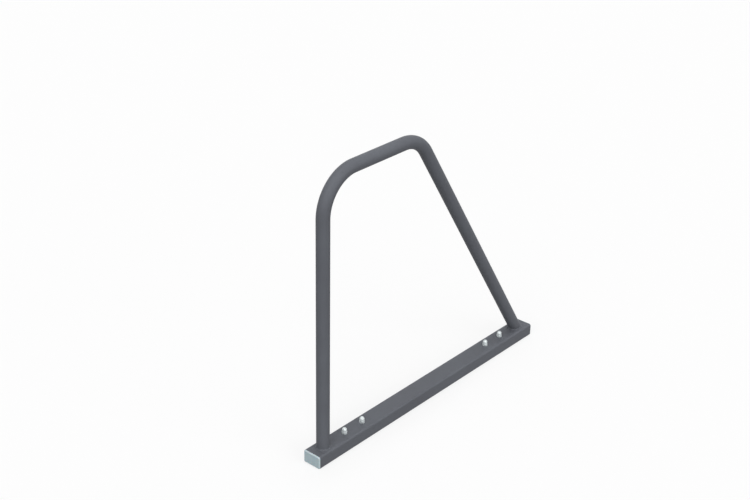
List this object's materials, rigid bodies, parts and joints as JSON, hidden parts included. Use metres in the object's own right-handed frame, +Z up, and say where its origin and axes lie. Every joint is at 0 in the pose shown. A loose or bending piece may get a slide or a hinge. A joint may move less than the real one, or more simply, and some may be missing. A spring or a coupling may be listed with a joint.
{
  "type": "hoop bike rack",
  "caption": "Ground-fixed bicycle stand: one bent round tube with an upright leg and a slanted leg, welded on a box-section rail with end plugs and domed nuts.",
  "frame": {"origin": "on the ground, under the middle of the rail's length and width", "axes": "+X along the rail, from the front end with the upright leg to the rear end with the slanted leg; +Y across the rail; +Z up"},
  "size_m": [1.007, 0.06, 0.87],
  "materials": {
    "powder_coat": "satin grey powder coat",
    "cap_plastic": "moulded, matt",
    "plated_steel": "zinc plated",
    "sleeve_steel": "as cut"
  },
  "bodies": {
    "root": {"base_rail": "powder_coat", "hoop": "powder_coat", "front_foot_weld": "powder_coat", "rear_foot_weld": "powder_coat", "front_end_cap": "cap_plastic", "rear_end_cap": "cap_plastic", "anchor_studs": "plated_steel", "cap_nuts": "plated_steel", "spacer_sleeve_1": "sleeve_steel", "spacer_sleeve_2": "sleeve_steel", "spacer_sleeve_3": "sleeve_steel", "spacer_sleeve_4": "sleeve_steel"}
  },
  "joints": []
}
